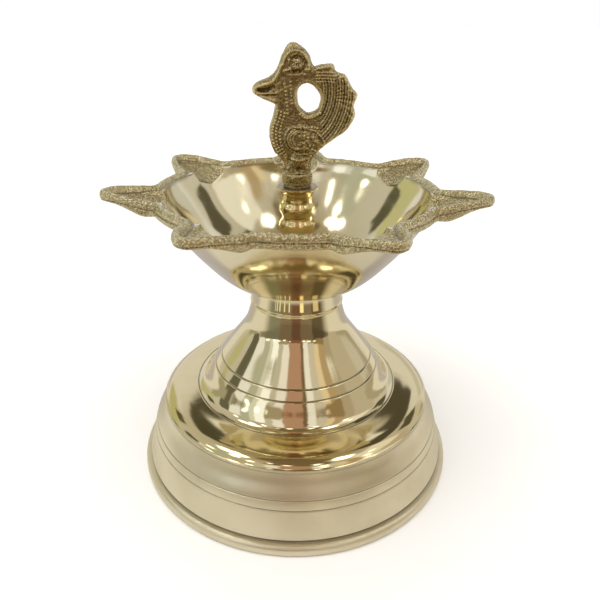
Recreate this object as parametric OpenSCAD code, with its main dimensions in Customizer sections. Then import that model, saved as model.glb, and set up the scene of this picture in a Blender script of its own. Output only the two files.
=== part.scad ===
// Standing oil lamp in cast and turned brass: a hollow foot, a bell-shaped
// stem, a seven-spouted oil bowl, a turned centre post and a bird finial.
// Origin: lamp axis at the plane it stands on. +Z up, front of the bird plate
// faces -Y, its beak points to -X. Millimetres.

/* [Base] */
// Radius of the foot bead at the bottom
foot_r = 65.4; // [63:0.1:68]
// Height of the turned edge between skirt and shoulder
edge_z = 29.7; // [28.5:0.1:31]
// Radius of that edge
edge_r = 55; // [54.5:0.1:55.5]
// Wall of the cast shell
shell_t = 2.6; // [2:0.1:3.4]

/* [Stem] */
// Radius of the crease where the bell meets the shoulder
bell_r = 41.2; // [40.8:0.1:41.3]
// Height of the stem's top face
neck_z = 70; // [69.5:0.1:70]
// Radius of the neck under the collar
neck_r = 17.9; // [17.6:0.1:18.2]

/* [Bowl] */
// Inner radius of the rim
rim_ri = 50.2; // [49.5:0.1:50.6]
// Outer radius of the rim band between spouts
rim_ro = 54.4; // [54:0.1:55.5]
// Height of the rim's top face
rim_z = 115.6; // [115:0.1:116]
// Height of the rim band's outer face
rim_h = 3.2; // [2.6:0.1:3.6]
// Number of wick spouts
spouts = 7; // [5:1:9]
// Radius at the spout tips
tip_r = 69.3; // [68:0.1:71]
// Angle of the first spout
spout_a0 = 88.85; // [0:0.05:360]
// Width of a spout's lip
lip_w = 3.1; // [2.6:0.1:3.4]

/* [Threads] */
// Outer radius of the bowl's threaded spigot
spigot_r = 7; // [6.5:0.1:7.2]
// Pitch of the bowl's spigot thread
spigot_p = 2; // [1.5:0.25:2.5]
// Outer radius of the post's thread
post_thread_r = 4; // [3.6:0.1:4.2]
// Pitch of the post's thread
post_p = 1.5; // [1:0.25:2]
// Outer radius of the finial stud
stud_r = 2.5; // [2.2:0.1:2.8]
// Pitch of the finial stud
stud_p = 1.2; // [0.8:0.1:1.4]
// Radial running clearance in the threaded holes
clear = 0.08; // [0.05:0.01:0.1]

/* [Finial] */
// Thickness of the cast bird plate
bird_t = 5; // [4:0.1:6]
// Height of the finial's foot above its washer
foot_h = 4.2; // [3.8:0.1:4.6]

/* [Hidden] */
$fn = 96;
brass = "goldenrod";
floor_z = 80;          // bowl floor at the post
seat_z = 32.5;         // ledge in the base that the bell stands on
plate_z = 29.5;        // underside of the base's top plate
collar_h = 7;          // neck collar
post_z = 115.6;        // top face of the centre post
gasket_t = 1;
washer_t = 1;

// Smooth curve through hand-set points, n steps between neighbours
function cr(a, b, c, d, t) = 0.5 * ((2 * b) + (c - a) * t
    + (2 * a - 5 * b + 4 * c - d) * t * t + (3 * b - a - 3 * c + d) * t * t * t);
function through(P, n) = concat([for (i = [0 : len(P) - 2], j = [0 : n - 1])
    cr(P[max(i - 1, 0)], P[i], P[i + 1], P[min(i + 2, len(P) - 1)], j / n)],
    [P[len(P) - 1]]);
function mirrored(P) = concat(P, [for (i = [len(P) - 1 : -1 : 0]) if (P[i][1] > 0) [P[i][0], -P[i][1]]]);
function rev(P) = [for (i = [len(P) - 1 : -1 : 0]) P[i]];
function ridges(r, z0, z1, p) = [for (i = [0 : floor((z1 - z0) / p) - 1], s = [0 : 1])
    [s == 0 ? r : r - 0.3 * p, z0 + (i + (s == 0 ? 0.25 : 0.75)) * p]];

module lathe(P) { rotate_extrude($fn = 128) polygon(P); }
module turned_line(r, z, d = 0.35) {
    rotate_extrude($fn = 128) translate([r, z]) circle(r = d, $fn = 16);
}
// Threaded length along Z with its crests at radius r
module thread(r, z0, z1, p) {
    lathe(concat([[0, z0], [r - 0.35 * p, z0]], ridges(r, z0, z1, p), [[r - 0.3 * p, z1], [0, z1]]));
}

// ---------- base ----------
shoulder = through([[bell_r + 0.2, 34.1], [44, 34.0], [47, 33.3], [50, 32.3], [52.8, 31.2], [edge_r - 0.5, 30.3], [edge_r, edge_z]], 4);
skirt = through([[edge_r + 0.1, edge_z - 0.5], [56.1, 26], [58.9, 20.9], [60.2, 16.7], [61.9, 10], [63.2, 4.9]], 4);
foot_bead = through([[63.6, 4.1], [foot_r - 0.7, 3.3], [foot_r, 1.8], [foot_r - 0.3, 0.6], [foot_r - 1.2, 0]], 4);
shell_inside = [[foot_r - 3, 0], [61.2, 4], [57.6 - (shell_t - 2.6), 16.7], [56.2 - (shell_t - 2.6), 20.9],
    [53.3 - (shell_t - 2.6), 26], [51.8 - (shell_t - 2.6), 28.3], [49.8 - (shell_t - 2.6), plate_z]];

module base_shell() {
    color(brass) difference() {
        lathe(concat([[4.2, seat_z], [bell_r + 0.2, seat_z]], shoulder, skirt, foot_bead, shell_inside, [[4.2, plate_z]]));
        turned_line(58.95, 20.9);
        turned_line(60.25, 16.7);
    }
}

// ---------- stem ----------
bell_side = through([[bell_r, 34.1], [39.3, 35.1], [37.8, 36.6], [36.6, 38.4], [35.2, 40.9], [33.6, 43.3],
    [30.8, 46.9], [27, 52], [24.6, 55.2], [22.6, 57.9], [21.3, 59.8], [20.4, 61.5], [19.3, 64.5], [18.3, 68], [neck_r, neck_z]], 3);
bell_inside = through([[spigot_r + 3, 52], [20, 50], [25, 46], [30, 40.5], [33, 36], [34.5, seat_z]], 3);

module stem_bell() {
    color(brass) difference() {
        lathe(concat([[0, neck_z]], rev(bell_side), [[bell_r, seat_z]], rev(bell_inside), [[6.5, 52], [6.5, 45], [0, 45]]));
        translate([0, 0, 57.5]) cylinder(r = spigot_r + clear, h = neck_z - 57);
        translate([0, 0, 44]) cylinder(r = 4, h = 10.5);
        turned_line(31.05, 46.9);
        turned_line(33.8, 43.3);
    }
}

module tie_rod() {
    color("slategray") thread(3.95, 20.5, 54, 1.25);
}

module base_washer() {
    color("slategray") translate([0, 0, plate_z - 2]) difference() {
        cylinder(r = 11, h = 2);
        translate([0, 0, -1]) cylinder(r = 4.2, h = 4);
    }
}

module base_nut() {
    color("slategray") translate([0, 0, plate_z - 8.5]) difference() {
        intersection() {
            cylinder(r = 7.5, h = 6.5, $fn = 6);
            union() {
                translate([0, 0, 1]) cylinder(r = 7.6, h = 4.5);
                cylinder(r1 = 6.4, r2 = 7.6, h = 1);
                translate([0, 0, 5.5]) cylinder(r1 = 7.6, r2 = 6.4, h = 1);
            }
        }
        translate([0, 0, -1]) cylinder(r = 4, h = 9);
    }
}

module neck_collar() {
    color(brass) lathe([[spigot_r + 0.3, neck_z], [18.1, neck_z], [18.4, neck_z + 0.3], [18.4, neck_z + 0.7],
        [17.7, neck_z + 1.1], [17.5, neck_z + 4], [17.6, neck_z + collar_h], [spigot_r + 0.3, neck_z + collar_h]]);
}

// ---------- bowl ----------
bowl_out = through([[17.6, neck_z + collar_h], [20.5, 78.1], [24.5, 80.2], [30.1, 84.4], [35.4, 90], [41, 96.8], [45.6, 103.6], [49.8, 110.6]], 4);
bowl_in = through([[0, floor_z], [12, floor_z], [20, 81.4], [28, 85.8], [34, 91], [39.5, 97.6], [44, 104.2], [48, 110.6], [rim_ri, rim_z]], 4);

// Half outlines of a spout, radial distance against half-width
lip_line = through([[45, 13.4], [50, 13.3], [54.5, 12], [59, 9.6], [63, 7.1], [66, 4.9], [tip_r - 1.4, 3.1], [tip_r - 0.4, 1.6], [tip_r, 0]], 3);
mouth_line = through([[40, 13.2 - lip_w], [48, 13.2 - lip_w], [53, 12.1 - lip_w], [57, 9.9 - lip_w], [61, 7.3 - lip_w], [tip_r - 5, 4.9 - lip_w], [tip_r - 3.2, 0]], 3);
// Sloping underside and channel floor, as bodies of revolution
under_prof = [[44, 103.5], [50, 109.3], [56, 111.2], [tip_r + 1, 112.4], [tip_r + 1, rim_z], [44, rim_z]];
chan_prof = [[40, 109], [49, 110.2], [56, 111.6], [61, 113.2], [tip_r - 2, 114.8], [tip_r - 2, 120], [40, 120]];

module spout_block() {
    linear_extrude(height = 140) polygon(mirrored(lip_line));
}
module spout_channel() {
    linear_extrude(height = 140) polygon(mirrored(mouth_line));
}

module oil_bowl() {
    color(brass) difference() {
        union() {
            lathe(concat([[0, neck_z + collar_h]], bowl_out,
                [[rim_ro - 1.2, rim_z - rim_h], [rim_ro, rim_z - rim_h + 0.5], [rim_ro, rim_z - 0.6], [rim_ro - 0.6, rim_z]], [[0, rim_z]]));
            intersection() {
                lathe(under_prof);
                for (k = [0 : spouts - 1]) rotate([0, 0, spout_a0 + k * 360 / spouts]) spout_block();
            }
            thread(spigot_r, 60, neck_z + 1, spigot_p);
            translate([0, 0, 70.6]) cylinder(r = spigot_r, h = neck_z + collar_h - 69.6);
        }
        lathe(concat(bowl_in, [[rim_ri, 130], [0, 130]]));
        intersection() {
            lathe(chan_prof);
            for (k = [0 : spouts - 1]) rotate([0, 0, spout_a0 + k * 360 / spouts]) spout_channel();
        }
        translate([0, 0, 71.5]) cylinder(r = post_thread_r + clear, h = 20);
    }
}

// ---------- centre post ----------
post_side = through([[8.6, floor_z + gasket_t], [9, floor_z + 2.2], [8.4, 84.2], [7.4, 87], [6.3, 91.5], [5.8, 95.5], [5.9, 97.8], [6.6, 98.8],
    [6.8, 100.5], [6.6, 102.2], [5.9, 103.1], [5.65, 104.2], [5.9, 105.3], [6.5, 106.1], [6.65, 107.4], [6.5, 108.7], [5.8, 109.7], [5.5, 111.2],
    [5.8, 112.9], [6.6, 114.3], [7.3, 114.8], [7.45, 115.2], [7.3, post_z]], 3);

module post_gasket() {
    color("saddlebrown") translate([0, 0, floor_z]) difference() {
        cylinder(r = 9.2, h = gasket_t);
        translate([0, 0, -1]) cylinder(r = post_thread_r + 0.15, h = 3);
    }
}

module centre_post() {
    color(brass) difference() {
        union() {
            lathe(concat([[0, floor_z + gasket_t]], post_side, [[0, post_z]]));
            thread(post_thread_r, 72.2, floor_z + gasket_t + 0.5, post_p);
        }
        translate([0, 0, post_z - 9]) cylinder(r = stud_r + clear, h = 10);
    }
}

// ---------- finial ----------
foot_z = post_z + washer_t;

module finial_washer() {
    color(brass) translate([0, 0, post_z]) difference() {
        cylinder(r = 5, h = washer_t);
        translate([0, 0, -1]) cylinder(r = stud_r + 0.15, h = 3);
    }
}

module finial_stud() {
    color("darkgoldenrod") thread(stud_r, post_z - 8, foot_z + 3.6, stud_p);
}

// Outline of the bird plate, beak to the left, x and height above the foot
crest = [[-4.6, 42], [-2.6, 43], [-0.2, 42.4], [2.4, 40.8], [3.8, 38.4], [4.7, 36.6]];
tail_top = [[4.7, 36.6], [6.6, 36], [9.4, 36.6], [11.5, 36.6], [12.2, 34.6], [14.7, 33.8], [16.4, 32.4], [17.4, 29.6], [19.4, 28.2], [20.1, 26.8]];
tail_back = [[20.1, 26.8], [19.4, 24.4], [19.1, 22.6], [19.8, 20.6], [18.7, 17.6], [16.7, 14.8], [13.3, 12.2], [10.3, 10.2], [7.6, 7.4]];
belly = [[7.6, 7.4], [5.8, 5.4], [5, 2.6], [4.7, -2], [-4.3, -2], [-4.5, 2], [-5.7, 4.4], [-7.7, 7.2]];
breast = [[-7.7, 7.2], [-9.4, 10.2], [-9.9, 13.4], [-9.4, 17.2], [-8.5, 20.6], [-8, 23.3]];
beak = [[-8, 23.3], [-9.8, 24.2], [-12.8, 25.8], [-15.2, 27.6], [-15.6, 28.9], [-14.2, 30.5], [-11.2, 31.8], [-8.8, 33.8], [-7, 36.8], [-5.8, 39.4], [-4.6, 42]];
function open_end(P) = [for (i = [0 : len(P) - 2]) P[i]];
bird_outline = concat(open_end(through(crest, 3)), open_end(through(tail_top, 2)), open_end(through(tail_back, 3)),
    open_end(belly), open_end(through(breast, 3)), open_end(through(beak, 3)));
eye_z = foot_h + 24.6;

module bird_finial() {
    color("darkgoldenrod") translate([0, 0, foot_z]) difference() {
        union() {
            translate([0, bird_t / 2, foot_h]) rotate([90, 0, 0]) linear_extrude(height = bird_t) polygon(bird_outline);
            lathe([[0, 0], [5, 0], [5.4, 0.5], [5.4, foot_h - 0.9], [4.9, foot_h], [0, foot_h]]);
            // wing and cheek in relief on both faces
            for (s = [-1, 1]) {
                translate([1.8, s * bird_t / 2, foot_h + 12.4]) scale([1, 1, 1]) rotate([90, 0, 0]) cylinder(r = 5.2, h = 1, center = true, $fn = 48);
                translate([-1.2, s * bird_t / 2, foot_h + 36.4]) rotate([90, 0, 0]) cylinder(r = 3.4, h = 1, center = true, $fn = 48);
            }
        }
        // oval gap between neck and tail
        translate([3.3, 0, eye_z]) rotate([90, 0, 0]) translate([0, 0, -bird_t]) linear_extrude(height = 2 * bird_t)
            polygon([for (a = [0 : 10 : 350]) [4.3 * cos(a), 5.5 * sin(a)]]);
        translate([0, 0, -1]) cylinder(r = stud_r, h = 4.6);
    }
}

base_shell();
stem_bell();
tie_rod();
base_washer();
base_nut();
neck_collar();
oil_bowl();
post_gasket();
centre_post();
finial_washer();
finial_stud();
bird_finial();
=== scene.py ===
# Looks of the brass standing oil lamp. Every piece is built in the CAD frame, in metres.
import bpy, bmesh, math
import numpy as np
from mathutils import Vector, Matrix
from mathutils.geometry import tessellate_polygon


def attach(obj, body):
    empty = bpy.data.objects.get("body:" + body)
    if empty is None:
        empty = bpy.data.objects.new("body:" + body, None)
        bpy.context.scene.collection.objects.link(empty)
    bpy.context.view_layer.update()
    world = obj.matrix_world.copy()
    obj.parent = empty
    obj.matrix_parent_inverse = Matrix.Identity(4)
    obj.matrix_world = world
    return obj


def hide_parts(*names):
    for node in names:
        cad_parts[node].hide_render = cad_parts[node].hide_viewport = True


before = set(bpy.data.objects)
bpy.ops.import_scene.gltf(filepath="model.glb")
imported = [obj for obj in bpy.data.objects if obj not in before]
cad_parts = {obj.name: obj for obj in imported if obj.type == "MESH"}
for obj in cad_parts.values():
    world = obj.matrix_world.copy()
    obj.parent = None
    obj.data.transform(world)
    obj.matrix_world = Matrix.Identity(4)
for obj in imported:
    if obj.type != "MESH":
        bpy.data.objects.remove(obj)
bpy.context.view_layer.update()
MM = 0.001
RNG = np.random.RandomState(7)


# ------------------------------------------------------------------ mesh tools
def spline(P, n):
    """Natural cubic spline through P by chord length, n steps between neighbours."""
    P = np.array(P, float)
    h = np.maximum(np.linalg.norm(np.diff(P, axis=0), axis=1) ** 0.75, 1e-6)
    t = np.r_[0, np.cumsum(h)]
    N = len(P)
    A = np.eye(N)
    B = np.zeros_like(P)
    for i in range(1, N - 1):
        A[i, i - 1], A[i, i], A[i, i + 1] = h[i - 1], 2 * (h[i - 1] + h[i]), h[i]
        B[i] = 6 * ((P[i + 1] - P[i]) / h[i] - (P[i] - P[i - 1]) / h[i - 1])
    M = np.linalg.solve(A, B)
    out = []
    for i in range(N - 1):
        s = (np.arange(n) / n * h[i])[:, None]
        a, b = M[i], M[i + 1]
        out.append(P[i] + s * ((P[i + 1] - P[i]) / h[i] - h[i] * (2 * a + b) / 6) + s ** 2 * a / 2 + s ** 3 * (b - a) / (6 * h[i]))
    out.append(P[-1:])
    return np.concatenate(out)


def rounded(P, radii, n=4):
    """Polyline with its corners rounded: radii is one number, or one for each point."""
    P = np.array(P, float)
    R = np.broadcast_to(np.array(radii, float), (len(P),))
    out = [P[0]]
    for i in range(1, len(P) - 1):
        a, b, c = P[i - 1], P[i], P[i + 1]
        u, v = a - b, c - b
        lu, lv = np.linalg.norm(u), np.linalg.norm(v)
        d = min(R[i], 0.45 * lu, 0.45 * lv)
        if d < 1e-6:
            out.append(b)
            continue
        p, q = b + u / lu * d, b + v / lv * d
        for k in range(n + 1):
            t = k / n
            out.append((1 - t) ** 2 * p + 2 * t * (1 - t) * b + t * t * q)
    out.append(P[-1])
    return np.array(out)


def notch(P, z, width, depth, side=1):
    """Cuts a rounded V line into a side profile (points r, z with z monotone) at height z."""
    P = np.array(P, float)
    d = (P[:, 1] - z) / width
    keep = np.abs(d) > 1.15
    order = np.argsort(P[:, 1])
    rz = lambda zz: np.interp(zz, P[order, 1], P[order, 0])
    zs = z + width * np.array([-1.1, -0.8, -0.5, -0.25, 0, 0.25, 0.5, 0.8, 1.1])
    dd = depth * np.array([0, 0.03, 0.35, 0.85, 1, 0.85, 0.35, 0.03, 0])
    new = np.c_[rz(zs) - side * dd, zs]
    if P[0, 1] > P[-1, 1]:
        new = new[::-1]
    i = np.argmax(~keep) if (~keep).any() else int(np.searchsorted(-P[:, 1] if P[0, 1] > P[-1, 1] else P[:, 1], -z if P[0, 1] > P[-1, 1] else z))
    a, b = P[:i], P[i:][keep[i:]]
    return np.concatenate([a, new, b])


def make_object(name, verts, faces, smooth=True):
    me = bpy.data.meshes.new(name)
    me.from_pydata([tuple(v) for v in np.asarray(verts, float)], [], [tuple(f) for f in faces])
    me.validate()
    me.update()
    o = bpy.data.objects.new(name, me)
    bpy.context.scene.collection.objects.link(o)
    bm = bmesh.new()
    bm.from_mesh(me)
    bmesh.ops.recalc_face_normals(bm, faces=bm.faces)
    bm.to_mesh(me)
    bm.free()
    me.polygons.foreach_set("use_smooth", [smooth] * len(me.polygons))
    me.update()
    return o


def ring_faces(rows, cols, closed_rows=False, base=0):
    i = np.arange(rows if closed_rows else rows - 1)
    j = np.arange(cols)
    I, J = np.meshgrid(i, j, indexing="ij")
    I2 = (I + 1) % rows
    J2 = (J + 1) % cols
    F = np.stack([I * cols + J, I * cols + J2, I2 * cols + J2, I2 * cols + J], -1).reshape(-1, 4) + base
    return F.tolist()


def lathe(name, P, segs=192, closed=False):
    """Solid of revolution. P in mm. Not closed: the first and last points lie on the axis."""
    P = np.array(P, float)
    th = np.arange(segs) / segs * 2 * np.pi
    if closed:
        V = np.stack([np.outer(P[:, 0], np.cos(th)), np.outer(P[:, 0], np.sin(th)), np.outer(P[:, 1], np.ones(segs))], -1).reshape(-1, 3)
        F = ring_faces(len(P), segs, True)
    else:
        Q = P[1:-1]
        V = np.stack([np.outer(Q[:, 0], np.cos(th)), np.outer(Q[:, 0], np.sin(th)), np.outer(Q[:, 1], np.ones(segs))], -1).reshape(-1, 3)
        F = ring_faces(len(Q), segs)
        n = len(V)
        V = np.concatenate([V, [[0, 0, P[0, 1]], [0, 0, P[-1, 1]]]])
        last = (len(Q) - 1) * segs
        for j in range(segs):
            F.append([n, (j + 1) % segs, j])
            F.append([n + 1, last + j, last + (j + 1) % segs])
    return make_object(name, V * MM, F)


def helix_rod(r, z0, z1, pitch, depth, segs=72, per=10, runout=1.0, r_core=None):
    """Vertices and faces of a rod with a right-hand thread, crests at r."""
    rows = int((z1 - z0) / pitch * per) + 1
    z = np.linspace(z0, z1, rows)
    th = np.arange(segs) / segs * 2 * np.pi
    Z, T = np.meshgrid(z, th, indexing="ij")
    ph = ((Z - z0) / pitch - T / (2 * np.pi)) % 1.0
    tri = np.abs(ph * 2 - 1)                       # 1 at the crest, 0 at the root
    prof = np.clip(tri * 1.25 - 0.12, 0, 1)
    fade = np.clip((Z - z0) / runout, 0, 1) * np.clip((z1 - Z) / (0.6 * runout) + 0.15, 0, 1)
    R = r - depth * (1 - prof * fade)
    chamf = np.clip(1 - (Z - z0) / (0.8 * depth + 0.15), 0, 1)
    R = R - chamf * 0.5 * depth
    V = np.stack([R * np.cos(T), R * np.sin(T), Z], -1).reshape(-1, 3)
    F = ring_faces(rows, segs)
    n = len(V)
    V = np.concatenate([V, [[0, 0, z0], [0, 0, z1]]])
    last = (rows - 1) * segs
    for j in range(segs):
        F.append([n, (j + 1) % segs, j])
        F.append([n + 1, last + j, last + (j + 1) % segs])
    return V, F


def join(name, objs):
    bpy.ops.object.select_all(action="DESELECT")
    for o in objs:
        o.select_set(True)
    bpy.context.view_layer.objects.active = objs[0]
    bpy.ops.object.join()
    objs[0].name = name
    objs[0].data.name = name
    return objs[0]


def tapped(r, z0, z1, pitch, depth=0.3):
    """Profile of a tapped hole's wall, roots at r."""
    out = []
    n = int((z1 - z0) / pitch)
    for i in range(n):
        z = z0 + i * pitch
        out += [[r, z + 0.12 * pitch], [r - depth, z + 0.5 * pitch], [r, z + 0.88 * pitch]]
    return out


def fnoise(p, seed=0, octaves=4, lac=2.0, gain=0.5):
    """Smooth value noise in numpy, p is (n, 3)."""
    p = np.array(p, float)
    total = np.zeros(len(p))
    amp = 1.0
    for o in range(octaves):
        q = p * lac ** o + 17.3 * o + seed * 5.1
        i = np.floor(q).astype(np.int64)
        f = q - i
        f = f * f * (3 - 2 * f)
        v = np.zeros(len(p))
        for dx in (0, 1):
            for dy in (0, 1):
                for dz in (0, 1):
                    h = (i[:, 0] + dx) * 374761393 + (i[:, 1] + dy) * 668265263 + (i[:, 2] + dz) * 2147483647 + seed * 974711
                    h = (h ^ (h >> 13)) * 1274126177
                    h = (h ^ (h >> 16)) & 0xFFFF
                    w = (f[:, 0] if dx else 1 - f[:, 0]) * (f[:, 1] if dy else 1 - f[:, 1]) * (f[:, 2] if dz else 1 - f[:, 2])
                    v += w * (h / 65535.0)
        total += amp * (v - 0.5) * 2
        amp *= gain
    return total


def set_attr(o, name, values):
    a = o.data.attributes.get(name) or o.data.attributes.new(name, "FLOAT", "POINT")
    a.data.foreach_set("value", np.asarray(values, np.float32))


def grooves(o, *spots):
    """Painted shade in turned lines and creases: each spot is radius, height, half width, strength, in mm."""
    c = verts(o) / MM
    r = np.hypot(c[:, 0], c[:, 1])
    d = np.zeros(len(c))
    for r0, z0, w, k in spots:
        d = np.maximum(d, k * np.clip(1.6 - np.hypot(r - r0, c[:, 2] - z0) / w, 0, 1))
    set_attr(o, "painted_crease_shade", d)


def verts(o):
    co = np.zeros(len(o.data.vertices) * 3)
    o.data.vertices.foreach_get("co", co)
    return co.reshape(-1, 3)


def set_verts(o, co):
    o.data.vertices.foreach_set("co", np.asarray(co, float).ravel())
    o.data.update()


# ------------------------------------------------------------------ camera
cam_data = bpy.data.cameras.new("Camera")
cam = bpy.data.objects.new("Camera", cam_data)
bpy.context.scene.collection.objects.link(cam)
cam_data.sensor_width = 36
cam_data.lens = 33.84
cam.matrix_world = (Matrix.Translation((0.0014, -0.20342, 0.16898))
                    @ Matrix.Rotation(math.radians(63.84), 4, "X") @ Matrix.Rotation(math.radians(0.57), 4, "Z"))
cam_data.clip_start = 0.01
bpy.context.scene.camera = cam


# ------------------------------------------------------------------ materials
class Nodes:
    def __init__(self, m):
        m.use_nodes = True
        self.t = m.node_tree
        self.t.nodes.clear()

    def add(self, kind, **kw):
        n = self.t.nodes.new(kind)
        for k, v in kw.items():
            if k in n.bl_rna.properties:
                setattr(n, k, v)
            else:
                n.inputs[k.replace("_", " ")].default_value = v
        return n

    def link(self, a, b):
        self.t.links.new(a, b)

    def math(self, op, a, b=None, c=None, clamp=False):
        n = self.t.nodes.new("ShaderNodeMath")
        n.operation = op
        n.use_clamp = clamp
        for i, x in enumerate((a, b, c)):
            if x is None:
                continue
            if isinstance(x, (int, float)):
                n.inputs[i].default_value = x
            else:
                self.link(x, n.inputs[i])
        return n.outputs[0]

    def mix(self, fac, a, b):
        n = self.t.nodes.new("ShaderNodeMix")
        n.data_type = "RGBA"
        for s, x in ((n.inputs[0], fac), (n.inputs[6], a), (n.inputs[7], b)):
            if isinstance(x, (int, float)):
                s.default_value = x
            elif isinstance(x, (tuple, list)):
                s.default_value = (*x[:3], 1)
            else:
                self.link(x, s)
        return n.outputs[2]

    def ramp(self, fac, stops, interp="LINEAR"):
        n = self.t.nodes.new("ShaderNodeValToRGB")
        n.color_ramp.interpolation = interp
        el = n.color_ramp.elements
        while len(el) < len(stops):
            el.new(0.5)
        for e, (p, c) in zip(el, stops):
            e.position = p
            e.color = (*c[:3], 1) if isinstance(c, (tuple, list)) else (c, c, c, 1)
        self.link(fac, n.inputs[0])
        return n.outputs[0]

    def mapr(self, v, a, b, c=0.0, d=1.0, smooth=True):
        n = self.t.nodes.new("ShaderNodeMapRange")
        n.interpolation_type = "SMOOTHSTEP" if smooth else "LINEAR"
        n.inputs[1].default_value, n.inputs[2].default_value = a, b
        n.inputs[3].default_value, n.inputs[4].default_value = c, d
        self.link(v, n.inputs[0])
        return n.outputs[0]


def lathe_lines(N, co, scale_r, scale_z, seed=0.0):
    """Noise that only depends on the radius and the height, as turning leaves it."""
    s = N.add("ShaderNodeSeparateXYZ")
    N.link(co, s.inputs[0])
    r = N.math("SQRT", N.math("ADD", N.math("MULTIPLY", s.outputs[0], s.outputs[0]), N.math("MULTIPLY", s.outputs[1], s.outputs[1])))
    c = N.add("ShaderNodeCombineXYZ")
    N.link(N.math("MULTIPLY", r, scale_r), c.inputs[0])
    N.link(N.math("MULTIPLY", s.outputs[2], scale_z), c.inputs[1])
    c.inputs[2].default_value = seed
    n = N.add("ShaderNodeTexNoise")
    n.inputs["Scale"].default_value = 1.0
    n.inputs["Detail"].default_value = 3.0
    n.inputs["Roughness"].default_value = 0.6
    N.link(c.outputs[0], n.inputs["Vector"])
    return n.outputs["Fac"]


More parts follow.
